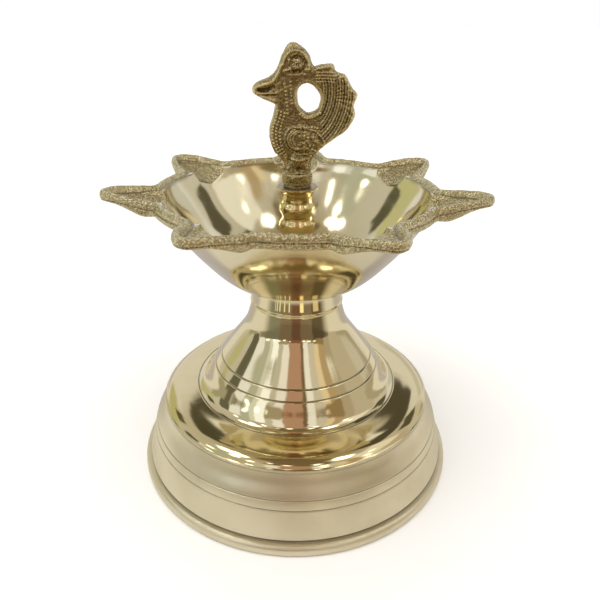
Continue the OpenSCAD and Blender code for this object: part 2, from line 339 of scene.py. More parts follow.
def brass(name, colour, tint, rough, lines=0.0, lines_scale=9000, waves=0.0, smudge=0.0, cast=None, ripple=0.0, freckle=0.0):
    """Metal with turning lines, a slow colour drift, handling marks and, where the mesh carries a 'cast' value, a granular as-cast skin."""
    m = bpy.data.materials.new(name)
    N = Nodes(m)
    out = N.add("ShaderNodeOutputMaterial")
    b = N.add("ShaderNodeBsdfPrincipled")
    b.inputs["Metallic"].default_value = 1.0
    N.link(b.outputs[0], out.inputs[0])
    tc = N.add("ShaderNodeTexCoord").outputs["Object"]

    drift = N.add("ShaderNodeTexNoise")
    drift.inputs["Scale"].default_value = 38
    drift.inputs["Detail"].default_value = 4
    N.link(tc, drift.inputs["Vector"])
    fine = N.add("ShaderNodeTexNoise")
    fine.inputs["Scale"].default_value = 900
    fine.inputs["Detail"].default_value = 5
    N.link(tc, fine.inputs["Vector"])
    col = N.mix(N.mapr(drift.outputs["Fac"], 0.35, 0.68), colour, tint)
    rgh = N.mapr(drift.outputs["Fac"], 0.3, 0.75, rough * 0.85, rough * 1.2)
    if smudge:
        sm = N.add("ShaderNodeTexNoise")
        sm.inputs["Scale"].default_value = 110
        sm.inputs["Detail"].default_value = 6
        sm.inputs["Distortion"].default_value = 1.2
        N.link(tc, sm.inputs["Vector"])
        mask = N.mapr(sm.outputs["Fac"], 0.52, 0.72, 0.0, smudge)
        rgh = N.math("ADD", rgh, mask)
        col = N.mix(N.math("MULTIPLY", mask, 1.1), col, tuple(c * 0.72 for c in tint))
    height = None
    if lines:
        a = lathe_lines(N, tc, lines_scale, lines_scale)
        a2 = lathe_lines(N, tc, lines_scale * 0.22, lines_scale * 0.22, 3.0)
        height = N.math("ADD", N.math("MULTIPLY", a, lines), N.math("MULTIPLY", a2, lines * 1.4))
        rgh = N.math("ADD", rgh, N.math("MULTIPLY", N.math("SUBTRACT", a, 0.5), rough * 0.5))
    if waves:
        w = lathe_lines(N, tc, 420, 420, 7.0)
        w = N.math("MULTIPLY", w, waves)
        height = w if height is None else N.math("ADD", height, w)
    if ripple:
        rp = N.add("ShaderNodeTexNoise")
        rp.inputs["Scale"].default_value = 120
        rp.inputs["Detail"].default_value = 2
        N.link(tc, rp.inputs["Vector"])
        rr = N.math("MULTIPLY", rp.outputs["Fac"], ripple)
        height = rr if height is None else N.math("ADD", height, rr)
    if freckle:
        fr = N.add("ShaderNodeTexVoronoi")
        fr.inputs["Scale"].default_value = 260
        N.link(tc, fr.inputs["Vector"])
        fm = N.mapr(fr.outputs["Distance"], 0.05, 0.16, freckle, 0.0)
        col = N.mix(fm, col, tuple(c * 0.45 for c in tint))
    bump = N.add("ShaderNodeBump")
    bump.inputs["Strength"].default_value = 1.0
    bump.inputs["Distance"].default_value = 0.001
    if cast:
        at = N.add("ShaderNodeAttribute", attribute_name="cast")
        mask = N.mapr(at.outputs["Fac"], 0.35, 0.65)
        g1 = N.add("ShaderNodeTexNoise")
        g1.inputs["Scale"].default_value = 1500
        g1.inputs["Detail"].default_value = 4
        g1.inputs["Roughness"].default_value = 0.65
        N.link(tc, g1.inputs["Vector"])
        g2 = N.add("ShaderNodeTexVoronoi")
        g2.inputs["Scale"].default_value = 1100
        N.link(tc, g2.inputs["Vector"])
        g3 = N.add("ShaderNodeTexNoise")
        g3.inputs["Scale"].default_value = 420
        g3.inputs["Detail"].default_value = 3
        N.link(tc, g3.inputs["Vector"])
        grain = N.math("ADD", N.math("MULTIPLY", g1.outputs["Fac"], cast["bump"]), N.math("MULTIPLY", g2.outputs["Distance"], cast["bump"] * 0.5))
        grain = N.math("ADD", grain, N.math("MULTIPLY", g3.outputs["Fac"], cast["bump"] * 0.9))
        gm = N.math("MULTIPLY", grain, mask)
        height = gm if height is None else N.math("ADD", N.math("MULTIPLY", height, N.math("SUBTRACT", 1.0, mask)), gm)
        ccol = N.mix(N.mapr(g3.outputs["Fac"], 0.3, 0.7, 0.0, 0.35), cast["dark"], cast["light"])
        ccol = N.mix(N.mapr(g1.outputs["Fac"], 0.44, 0.62), ccol, cast["light"])
        # ridges painted lighter gold by a mesh attribute: rubbed brass, and a painted highlight on the convex parts
        ridge_polish_and_highlight = N.add("ShaderNodeAttribute", attribute_name="ridge_polish_and_highlight").outputs["Fac"]
        ccol = N.mix(ridge_polish_and_highlight, ccol, (0.88, 0.74, 0.42))
        col = N.mix(mask, col, ccol)
        rc = N.mapr(g1.outputs["Fac"], 0.3, 0.7, cast["rough"] * 0.8, cast["rough"] * 1.25)
        rgh = N.math("ADD", N.math("MULTIPLY", rgh, N.math("SUBTRACT", 1.0, mask)), N.math("MULTIPLY", rc, mask))
    # painted shade in grooves, creases and hollows: where this mesh attribute is set the colour goes almost to black
    # and the roughness rises
    painted_crease_shade = N.add("ShaderNodeAttribute", attribute_name="painted_crease_shade").outputs["Fac"]
    col = N.mix(painted_crease_shade, col, (0.075, 0.048, 0.022))
    rgh = N.math("ADD", rgh, N.math("MULTIPLY", painted_crease_shade, 0.25))
    if height is not None:
        N.link(height, bump.inputs["Height"])
        N.link(bump.outputs[0], b.inputs["Normal"])
    N.link(col, b.inputs["Base Color"])
    N.link(rgh, b.inputs["Roughness"])
    return m


def steel(name):
    m = bpy.data.materials.new(name)
    N = Nodes(m)
    out = N.add("ShaderNodeOutputMaterial")
    b = N.add("ShaderNodeBsdfPrincipled")
    b.inputs["Metallic"].default_value = 1.0
    N.link(b.outputs[0], out.inputs[0])
    tc = N.add("ShaderNodeTexCoord").outputs["Object"]
    n = N.add("ShaderNodeTexNoise")
    n.inputs["Scale"].default_value = 300
    n.inputs["Detail"].default_value = 5
    N.link(tc, n.inputs["Vector"])
    N.link(N.ramp(n.outputs["Fac"], [(0.3, (0.36, 0.36, 0.35)), (0.7, (0.58, 0.57, 0.55))]), b.inputs["Base Color"])
    N.link(N.mapr(n.outputs["Fac"], 0.3, 0.7, 0.28, 0.45), b.inputs["Roughness"])
    bump = N.add("ShaderNodeBump")
    bump.inputs["Distance"].default_value = 0.00002
    N.link(n.outputs["Fac"], bump.inputs["Height"])
    N.link(bump.outputs[0], b.inputs["Normal"])
    return m


def leather(name):
    m = bpy.data.materials.new(name)
    N = Nodes(m)
    out = N.add("ShaderNodeOutputMaterial")
    b = N.add("ShaderNodeBsdfPrincipled")
    N.link(b.outputs[0], out.inputs[0])
    tc = N.add("ShaderNodeTexCoord").outputs["Object"]
    v = N.add("ShaderNodeTexVoronoi", feature="DISTANCE_TO_EDGE")
    v.inputs["Scale"].default_value = 1400
    N.link(tc, v.inputs["Vector"])
    n = N.add("ShaderNodeTexNoise")
    n.inputs["Scale"].default_value = 260
    n.inputs["Detail"].default_value = 5
    N.link(tc, n.inputs["Vector"])
    c = N.ramp(n.outputs["Fac"], [(0.3, (0.10, 0.05, 0.025)), (0.7, (0.24, 0.13, 0.065))])
    c = N.mix(N.mapr(v.outputs["Distance"], 0.0, 0.12, 0.5, 0.0), c, (0.05, 0.025, 0.012))
    N.link(c, b.inputs["Base Color"])
    b.inputs["Roughness"].default_value = 0.62
    bump = N.add("ShaderNodeBump")
    bump.inputs["Distance"].default_value = 0.0001
    N.link(v.outputs["Distance"], bump.inputs["Height"])
    N.link(bump.outputs[0], b.inputs["Normal"])
    return m


CAST_BOWL = {"bump": 0.34, "dark": (0.47, 0.385, 0.185), "light": (1.0, 0.92, 0.62), "rough": 0.18}
M_SATIN = brass("brass_satin", (0.92, 0.845, 0.635), (0.86, 0.785, 0.58), 0.40, lines=0.022, lines_scale=4200, smudge=0.06)
M_SHOULDER = brass("brass_polished", (0.83, 0.71, 0.44), (0.79, 0.68, 0.42), 0.075, lines=0.0022, lines_scale=9000, smudge=0.05, waves=0.0)
M_BELL = brass("brass_bell", (0.84, 0.75, 0.50), (0.81, 0.72, 0.48), 0.055, lines=0.0042, lines_scale=5200, smudge=0.04)
M_BOWL = brass("brass_bowl", (0.86, 0.78, 0.56), (0.82, 0.74, 0.52), 0.085, lines=0.0024, lines_scale=6000, smudge=0.05, cast=CAST_BOWL)
M_GOLD = brass("brass_golden", (0.83, 0.64, 0.27), (0.77, 0.57, 0.22), 0.11, lines=0.006, lines_scale=7000, smudge=0.05, ripple=0.02)
CAST_BIRD = {"bump": 0.22, "dark": (0.27, 0.21, 0.095), "light": (0.60, 0.50, 0.27), "rough": 0.24}
M_BIRD = brass("brass_antique", (0.46, 0.34, 0.15), (0.36, 0.25, 0.10), 0.34, cast=CAST_BIRD)
M_STEEL = steel("steel")
M_LEATHER = leather("leather_washer")


def finish_piece(o, mat, body, slot, *nodes):
    o.data.materials.clear()
    for m in (mat if isinstance(mat, (list, tuple)) else [mat]):
        o.data.materials.append(m)
    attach(o, body)
    if nodes:
        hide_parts(*nodes)
    return o


# ------------------------------------------------------------------ base
plate_z, seat_z = 29.5, 32.5
shoulder = spline([[41.4, 34.12], [43.5, 33.98], [46, 33.72], [48.5, 33.34], [50.3, 32.9], [52.1, 32.1], [53.5, 31.1], [54.2, 30.4]], 7)
edge = rounded([[54.2, 30.4], [54.55, 30.12], [54.75, 29.98], [55.05, 29.9], [55.18, 29.6], [55.0, 29.3], [55.0, 29.0]], 0.12, 3)
skirt = spline([[55.0, 29.0], [56.0, 26.0], [57.5, 23.4], [58.9, 20.9], [60.2, 16.7], [61.9, 10], [62.8, 6.6], [63.02, 5.85]], 14)
skirt = notch(skirt, 20.2, 0.42, 0.36)
skirt = notch(skirt, 16.6, 0.42, 0.36)
foot = spline([[63.02, 5.85], [62.72, 5.45], [62.6, 5.0], [62.78, 4.62], [63.4, 4.5], [64.3, 4.15], [65.0, 3.4], [65.4, 2.3], [65.38, 1.2], [64.95, 0.35], [64.2, 0.0]], 5)
inside = rounded([[62.4, 0.0], [62.0, 1.2], [61.2, 4], [57.6, 16.7], [56.2, 20.9], [53.3, 26], [51.6, 28.6], [49.0, plate_z], [4.25, plate_z], [4.25, seat_z], [41.32, seat_z], [41.32, 34.0]],
                 [0, 0.5, 3, 2, 2, 2, 1.2, 0.8, 0.2, 0.2, 0.05, 0], 4)
base = lathe("base_shell_piece", np.concatenate([shoulder, edge[1:], skirt[1:], foot[1:], inside]), 256, closed=True)
co = verts(base) / MM
# painted shade in the two skirt lines, in the groove over the foot bead and at the top edge
grooves(base, (58.75, 20.2, 0.30, 0.6), (59.85, 16.6, 0.30, 0.6), (62.6, 5.0, 0.5, 0.7), (55.0, 29.1, 0.3, 0.4))
finish_piece(base, [M_SATIN, M_SHOULDER], "stand", "brass_satin", "base_shell")
mid = np.array([np.mean(co[list(p.vertices)], axis=0) for p in base.data.polygons])
top_face = (mid[:, 2] > 30.0) & (np.hypot(mid[:, 0], mid[:, 1]) < 55.1) & (np.hypot(mid[:, 0], mid[:, 1]) > 41)
base.data.polygons.foreach_set("material_index", top_face.astype(np.int32))

# ------------------------------------------------------------------ stem bell
bell_out = spline([[17.9, 69.6], [18.3, 68], [19.25, 64.6], [20.3, 61.6], [21.2, 59.9], [22.5, 57.9], [24.6, 55.0], [27.0, 51.9],
                   [29.2, 49.1], [31.0, 46.8], [33.6, 43.3], [35.3, 40.7], [36.6, 38.5], [37.8, 36.7], [39.2, 35.2], [41.2, 34.15]], 7)
bell_out = notch(bell_out, 46.9, 0.36, 0.30)
bell_out = notch(bell_out, 43.3, 0.36, 0.30)
bore = [[0, 57.5], [6.8, 57.5]] + tapped(7.1, 57.9, 69.3, 2.0, 0.28) + [[7.15, 69.3], [7.7, 70.0], [17.55, 70.0], [17.82, 69.85]]
bell_in = spline([[34.4, seat_z], [33, 36], [30, 40.5], [25, 46], [20, 50], [10, 52]], 5)
bell = lathe("stem_bell_piece", np.concatenate([bore, bell_out, [[41.25, 34.0], [41.2, seat_z]], bell_in, [[6.5, 52], [6.5, 45], [4.0, 45], [4.0, 54.5], [0, 54.5]]]), 256)
# painted shade in the bell's two lines and in the crease where its foot meets the base
grooves(bell, (30.75, 46.9, 0.26, 0.6), (33.4, 43.3, 0.26, 0.6), (41.2, 34.15, 0.35, 0.55))
finish_piece(bell, M_BELL, "stand", "brass_polished", "stem_bell")

# hidden fixing: threaded rod, washer and nut under the plate
V, F = helix_rod(3.95, 20.5, 54, 1.25, 0.62, 64, 8, 1.2)
rod = make_object("tie_rod_piece", V * MM, F)
finish_piece(rod, M_STEEL, "stand", "steel", "tie_rod")
w = lathe("base_washer_piece", rounded([[4.2, 27.5], [11, 27.5], [11, 29.5], [4.2, 29.5], [4.2, 28.5]], 0.25, 3), 128, closed=True)
finish_piece(w, M_STEEL, "stand", "steel", "base_washer")
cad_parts["base_nut"].data.materials.clear()
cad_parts["base_nut"].data.materials.append(M_STEEL)

# ------------------------------------------------------------------ collar
collar = lathe("neck_collar_piece", rounded([[7.35, 70.02], [18.0, 70.02], [18.38, 70.2], [18.42, 70.75], [17.75, 71.15], [17.55, 72.5], [17.5, 74.5], [17.6, 76.6], [17.9, 76.98], [7.35, 76.98], [7.35, 73]],
                                           [0.1, 0.15, 0.15, 0.15, 0.25, 0.6, 1, 0.4, 0.1, 0.2, 0.2], 4), 192, closed=True)
finish_piece(collar, M_BELL, "collar", "brass_polished", "neck_collar")

# ------------------------------------------------------------------ bowl
SP, A0 = 7, math.radians(88.85)
rim_z, rim_ro, tip_r, floor_z = 115.6, 52.7, 69.3, 80.0
half = math.pi / SP
PER = 130
s = (np.arange(PER) + 0.5) / PER * 2 - 1
alpha = np.sign(s) * np.abs(s) ** 1.45 * half
lip = spline([[46.5, 13.6], [50.0, 12.7], [54.5, 11.1], [59, 9.2], [63, 7.2], [66, 5.2], [67.8, 3.5], [68.9, 1.9], [69.3, 0]], 24)
la, lr = np.arctan2(lip[:, 1], lip[:, 0]), np.hypot(lip[:, 0], lip[:, 1])
o_ = np.argsort(la)


def outline(a):
    a = (np.abs(a) + half) % (2 * half) - half
    sp = np.interp(np.abs(a), la[o_], lr[o_], right=lr[0] - 0)
    sp = sp - np.clip(np.abs(a) - la.max(), 0, None) * 60
    return 0.5 * (rim_ro + sp + np.sqrt((rim_ro - sp) ** 2 + 0.8 ** 2)) - 0.02


aa = np.linspace(-1.7 * half, 1.7 * half, 1401)
Rr = outline(aa)
OUT = np.c_[Rr * np.cos(aa), Rr * np.sin(aa)]


def dist_outline(x, y):
    p = np.c_[x.ravel(), y.ravel()]
    best = np.full(len(p), 1e9)
    a, d = OUT[:-1], np.diff(OUT, axis=0)
    L = (d ** 2).sum(1)
    for i in range(0, len(p), 4000):
        q = p[i:i + 4000]
        w_ = q[:, None] - a[None]
        t = np.clip((w_ * d).sum(-1) / L, 0, 1)
        best[i:i + 4000] = np.sqrt(((w_ - t[..., None] * d) ** 2).sum(-1)).min(1)
    return best.reshape(x.shape)


def smoothstep(x, a, b):
    t = np.clip((x - a) / (b - a), 0, 1)
    return t * t * (3 - 2 * t)


R = outline(alpha)
dR = np.gradient(R, alpha)
cosg = 1 / np.sqrt(1 + (dR / R) ** 2)
spout = 1 - smoothstep(np.abs(alpha), math.radians(10.5), math.radians(15.5))
wall_in = spline([[12, 80], [20, 81.4], [28, 85.8], [34, 91], [39.5, 97.6], [44, 104.2], [47.8, 110.6], [49.7, 115.6]], 12)
zf = lambda u: np.interp(u, [46, 49, 56, 61, 65, 67], [108.4, 110.0, 111.5, 113.0, 114.4, 115.0])

# rows of the upper surface, from the bore in the floor out to the rim's edge
floor_r = [4.9, 5.6, 8.5, 10.5]
r_in = np.concatenate([floor_r, wall_in[wall_in[:, 0] < 44.5][:, 0]])
z_in = np.concatenate([[80, 80, 80, 80], wall_in[wall_in[:, 0] < 44.5][:, 1]])
rows_r = [np.full(PER, x) for x in r_in]
rows_z = [np.full(PER, x) for x in z_in]
rows_c = [np.zeros(PER) for x in r_in]
NO = 84
for k in range(1, NO + 1):
    t = k / NO
    t = t ** 0.92
    rr = 44.5 + (R - 44.5) * t
    rows_r.append(rr)
rr = np.array(rows_r[len(r_in):])
X, Y = rr * np.cos(alpha), rr * np.sin(alpha)
D = dist_outline(X, Y)
D[-1] = 0
W = 3.1 + (2.9 - 3.1) * spout[None]
zb = np.interp(rr, wall_in[:, 0], wall_in[:, 1]) + np.clip(rr - 49.7, 0, None) * 2.4
v = np.abs(Y)
zc = zf(X) + 0.16 * v ** 1.35 + 1.6 * np.clip(v - 6.6, 0, None) ** 2
kk = 0.35
B = 0.5 * (zb + zc - np.sqrt((zb - zc) ** 2 + kk ** 2))
x = np.clip(D / W, 0, 1)
edge_r = 0.95
lip_top = rim_z + 0.12 - 1.35 * np.abs(2 * x - 0.86) ** 2.5
lip_top = lip_top - np.where(D < edge_r, edge_r - np.sqrt(np.clip(edge_r ** 2 - (edge_r - D) ** 2, 0, None)), 0)
# the spout tips stand a little proud, the rim between them dips
wave = 1.5 * smoothstep(rr, 54.5, 67.5) - 0.6 * (1 - smoothstep(R, 54, 60))[None] * smoothstep(rr, 47.5, 52)
zc = zc + 0.8 * wave
lip_top = lip_top + wave
blend = smoothstep(D, W - 0.25, W + 0.95)
Z = lip_top * (1 - blend) + np.minimum(B, lip_top) * blend
cast_top = np.maximum(1 - smoothstep(D, W + 0.1, W + 0.5), (zc < zb - 0.05).astype(float) * (rr > 47))
for i in range(NO):
    rows_z.append(Z[i])
    rows_c.append(cast_top[i])
# outer face of the lip: bead, fine groove, lower band
# the lower band is deep at a spout's root and runs out towards its tip
deep = 1.0 + 0.35 * smoothstep(R, 53, 57) - 0.80 * smoothstep(R, 56, 68.5)
face = [(0.0, 0.12), (0.05, 0.35), (0.18, 0.55), (0.30, 0.66), (0.34, 0.76), (0.26, 0.88), (0.08, 1.02), (0.0, 1.3), (-0.04, 1.7), (0.0, 2.1), (0.10, 2.45), (0.32, 2.7), (0.62, 2.82), (0.9, 2.88)]
zt = Z[-1]
lip_face_rows = []
nose = smoothstep(R, 57, 68)
for ins, dz in face:
    lip_face_rows.append(len(rows_r))
    rows_r.append(R - (ins + 1.9 * nose * (dz / 2.88) ** 2) / cosg)
    rows_z.append(zt - np.minimum(dz, 0.9) - np.maximum(dz - 0.9, 0) * deep)
    rows_c.append(np.ones(PER))
groove_rows = lip_face_rows[2:7]
r_e, z_e = rows_r[-1], rows_z[-1]
wall_out = spline([[49.55, 110.2], [45.5, 103.6], [41, 96.9], [35.4, 90.1], [30.1, 84.5], [24.5, 80.25], [20.5, 78.1], [17.6, 77.02]], 9)
for k in range(1, 15):
    t = k / 14
    rows_r.append(r_e + (wall_out[0, 0] - r_e) * t)
    sag = -0.9 * math.sin(math.pi * min(t * 1.1, 1)) * spout * np.clip((r_e - 54) / 10, 0, 1)
    rows_z.append(z_e + (wall_out[0, 1] - z_e) * t ** 1.3 + sag)
    rows_c.append(np.full(PER, 1.0 if t < 0.93 else 0.0))
for p in wall_out[1:]:
    rows_r.append(np.full(PER, p[0]))
    rows_z.append(np.full(PER, p[1]))
    rows_c.append(np.zeros(PER))
for p in [[17.2, 76.99], [12, 76.99], [7.15, 76.99], [6.95, 76.8], [6.95, 74], [6.95, 71.0], [6.6, 70.8], [3, 70.8]]:
    rows_r.append(np.full(PER, p[0]))
    rows_z.append(np.full(PER, p[1]))
    rows_c.append(np.zeros(PER))
head = [[2.5, 71.5]] + tapped(4.15, 71.6, 79.2, 1.5, 0.22) + [[4.15, 79.4], [4.55, 79.85]]
rows_r = [np.full(PER, p[0]) for p in head] + rows_r
rows_z = [np.full(PER, p[1]) for p in head] + rows_z
rows_c = [np.zeros(PER) for p in head] + rows_c
RR, ZZ, CC = np.array(rows_r), np.array(rows_z), np.array(rows_c)
th = np.concatenate([A0 + k * 2 * half + alpha for k in range(SP)])
RR, ZZ, CC = np.tile(RR, (1, SP)), np.tile(ZZ, (1, SP)), np.tile(CC, (1, SP))
cols = PER * SP
Vb = np.stack([RR * np.cos(th), RR * np.sin(th), ZZ], -1).reshape(-1, 3)
# sand-cast unevenness on the lips, different on every spout
cc = CC.reshape(-1)
n1 = fnoise(Vb / 2.2, 3, 3)
n2 = fnoise(Vb / 0.75, 5, 2)
rad = Vb[:, :2] / np.maximum(np.hypot(Vb[:, 0], Vb[:, 1]), 1e-6)[:, None]
top = (np.arange(len(Vb)) // cols) < len(head) + len(r_in) + NO
amp = cc * (0.10 * n1 + 0.05 * n2)
Vb[:, 2] += np.where(top, amp, 0)
Vb[:, :2] += rad * np.where(top, 0, amp)[:, None]
Fb = ring_faces(len(RR), cols)
n = len(Vb)
Vb = np.concatenate([Vb, [[0, 0, 71.5], [0, 0, 70.8]]])
last = (len(RR) - 1) * cols
for j in range(cols):
    Fb.append([n, (j + 1) % cols, j])
    Fb.append([n + 1, last + j, last + (j + 1) % cols])
bowl = make_object("oil_bowl_piece", Vb * MM, Fb)
set_attr(bowl, "cast", np.r_[cc, 0, 0])
# painted shade in the lip's fine groove and along the crease where the lip meets the bowl's inside
gd = np.zeros((len(RR), cols))
for k, g_ in zip(groove_rows, (0.15, 0.4, 0.5, 0.35, 0.1)):
    gd[k + len(head)] = g_
inner = np.tile(np.exp(-((D - W - 0.45) / 0.42) ** 2) * 0.6, (1, SP))
gd[len(head) + len(r_in):len(head) + len(r_in) + NO] = inner
set_attr(bowl, "painted_crease_shade", np.r_[gd.reshape(-1), 0, 0])
V, F = helix_rod(7.0, 60, 71.3, 2.0, 0.95, 96, 12, 1.6)
sp_ = make_object("spigot", V * MM, F)
set_attr(sp_, "cast", np.zeros(len(V)))
set_attr(sp_, "painted_crease_shade", np.zeros(len(V)))
bowl = join("oil_bowl_piece", [bowl, sp_])
finish_piece(bowl, M_BOWL, "bowl", "brass_bowl", "oil_bowl")

# ------------------------------------------------------------------ centre post and gasket
gasket = lathe("post_gasket_piece", rounded([[4.2, 80.02], [9.2, 80.02], [9.25, 80.5], [9.2, 80.98], [4.2, 80.98], [4.2, 80.5]], 0.22, 3), 128, closed=True)
finish_piece(gasket, M_LEATHER, "gasket", "leather_washer", "post_gasket")
side = spline([[8.6, 81.05], [9.0, 82.2], [8.5, 84.2], [7.4, 87], [6.35, 91.5], [5.8, 95.3], [5.85, 97.4]], 6)
ring1 = spline([[5.85, 97.4], [6.2, 98.25], [6.68, 99.1], [6.84, 100.5], [6.68, 101.9], [6.2, 102.75], [5.8, 103.4]], 4)
waist = spline([[5.8, 103.4], [5.64, 104.2], [5.8, 105.1]], 4)
ring2 = spline([[5.8, 105.1], [6.25, 105.9], [6.58, 106.7], [6.66, 107.5], [6.55, 108.3], [6.2, 109.0], [5.75, 109.7]], 4)
flare = spline([[5.75, 109.7], [5.5, 111.2], [5.62, 112.5], [6.1, 113.6], [6.8, 114.35], [7.25, 114.65]], 5)
crown = rounded([[7.25, 114.65], [7.5, 114.85], [7.5, 115.35], [7.2, 115.6], [3.2, 115.6], [2.65, 115.2], [2.65, 106.6], [0, 106.6]], [0, 0.15, 0.2, 0.3, 0.2, 0.1, 0.1, 0], 4)
post = lathe("post_body", np.concatenate([[[0, 81.02]], side, ring1[1:], waist[1:], ring2[1:], flare[1:], crown[1:]]), 160)
V, F = helix_rod(4.0, 72.2, 81.4, 1.5, 0.7, 72, 10, 1.2)
pt = make_object("post_thread", V * MM, F)
post = join("centre_post_piece", [post, pt])
c = verts(post) / MM
set_attr(post, "cast", ((c[:, 2] > 115.2) & (np.hypot(c[:, 0], c[:, 1]) < 7.45)).astype(float))
M_POST = brass("brass_post", (0.82, 0.68, 0.36), (0.77, 0.62, 0.31), 0.12, lines=0.010, lines_scale=5200, smudge=0.05, ripple=0.05, cast={"bump": 0.10, "dark": (0.30, 0.25, 0.18), "light": (0.58, 0.50, 0.36), "rough": 0.36})
finish_piece(post, M_POST, "post", "brass_golden", "centre_post")

# ------------------------------------------------------------------ finial
# painted shade: the washer is dark antique brass, a dark ring standing in for the shade where the bird's foot meets the
# post
fw = lathe("finial_washer_piece", rounded([[2.7, 115.62], [5.0, 115.62], [5.1, 116.1], [5.0, 116.58], [2.7, 116.58], [2.7, 116.1]], 0.18, 3), 96, closed=True)
set_attr(fw, "cast", np.ones(len(fw.data.vertices)))
finish_piece(fw, M_BIRD, "washer", "brass_antique", "finial_washer")
V, F = helix_rod(2.5, 107.6, 120.2, 1.2, 0.55, 60, 10, 1.0)
fs = make_object("finial_stud_piece", V * MM, F)
finish_piece(fs, M_GOLD, "finial", "brass_golden", "finial_stud")

# Bird plate: outline in mm, x and height above the foot's underside at z = 116.6
FZ = 116.6
crest = spline([[-4.0, 45.4], [-3.1, 46.4], [-1.6, 46.8], [-0.2, 46.4], [1.5, 45.3], [3.2, 43.8], [4.2, 41.8], [4.8, 40.1], [5.5, 39.4]], 4)
tail_top = [[6.2, 39.8], [7.9, 40.1], [9.9, 40.4], [11.3, 40.4], [12.0, 39.8], [12.3, 38.4], [13.0, 37.8], [14.3, 37.4], [15.7, 37.1], [16.7, 35.9], [17.4, 34.4], [18.4, 32.8],
            [19.4, 31.8], [20.1, 31.1], [20.3, 30.3], [19.9, 29.1], [19.3, 27.8], [19.2, 26.4], [19.6, 25.4], [19.9, 24.4]]
tail_back = spline([[19.9, 24.4], [19.6, 23.1], [18.7, 21.3], [17.4, 19.4], [15.7, 17.8], [13.7, 16.5], [11.3, 14.8], [9.3, 13.3], [7.6, 11.8]], 4)
low = [[6.9, 11.1], [5.7, 10.1], [5.0, 8.6], [4.8, 6.8], [4.7, 3.0], [-4.6, 3.0], [-4.7, 6.4], [-5.1, 7.8], [-5.9, 9.2], [-7.0, 10.1]]
breast = spline([[-8.0, 10.8], [-9.2, 13.5], [-9.9, 15.8], [-10.0, 18.1], [-9.6, 20.8], [-8.7, 23.4], [-8.0, 26.1], [-7.8, 27.3]], 4)
beak = spline([[-9.7, 28.1], [-12.1, 29.1], [-14.1, 30.1], [-15.2, 30.9], [-15.6, 31.9], [-15.3, 32.9], [-14.5, 33.9], [-13.1, 34.8], [-11.4, 35.4], [-9.7, 36.1], [-8.4, 37.1], [-7.4, 38.3],
               [-6.5, 40.1], [-5.7, 42.4], [-4.8, 44.1], [-4.0, 45.4]], 3)
bird_pts = np.concatenate([crest, np.array(tail_top), tail_back[1:], np.array(low), breast, beak[:-1]])
hole_pts = spline([[3.0, 34.2], [4.6, 33.8], [6.1, 32.4], [7.1, 31.1], [7.7, 29.5], [7.4, 27.8], [7.0, 26.4], [6.1, 25.5], [4.6, 24.9], [3.4, 24.7], [1.9, 25.5], [0.6, 26.8], [0.0, 28.4],
                   [-0.2, 30.2], [0.0, 32.0], [0.9, 33.3], [1.9, 33.9], [3.0, 34.2]], 4)[:-1]


def poly_dist(p, poly, closed=True):
    a = poly
    b = np.roll(poly, -1, 0) if closed else poly[1:]
    a = a if closed else poly[:-1]
    d = b - a
    L = (d ** 2).sum(1) + 1e-12
    best = np.full(len(p), 1e9)
    for i in range(0, len(p), 4000):
        q = p[i:i + 4000]
        w_ = q[:, None] - a[None]
        t = np.clip((w_ * d).sum(-1) / L, 0, 1)
        best[i:i + 4000] = np.sqrt(((w_ - t[..., None] * d) ** 2).sum(-1)).min(1)
    return best


def gauss(d, w):
    return np.exp(-(d / w) ** 2)


def line_feature(p, pts, w, closed=False):
    return gauss(poly_dist(p, np.array(pts, float), closed), w)


def arc(cx, cz, rx, rz, a0, a1, n=24):
    t = np.radians(np.linspace(a0, a1, n))
    return np.c_[cx + rx * np.cos(t), cz + rz * np.sin(t)]


def beads(p, path, step, size, height, first=0.5):
    """A string of small domes along a path."""
    path = np.array(path, float)
    seg = np.r_[0, np.cumsum(np.linalg.norm(np.diff(path, axis=0), axis=1))]
    h = np.zeros(len(p))
    sx = first * step
    while sx < seg[-1]:
        c_ = (np.interp(sx, seg, path[:, 0]), np.interp(sx, seg, path[:, 1]))
        d = np.hypot(p[:, 0] - c_[0], p[:, 1] - c_[1])
        h = np.maximum(h, height * np.sqrt(np.clip(1 - (d / size) ** 2, 0, 1)))
        sx += step
    return h


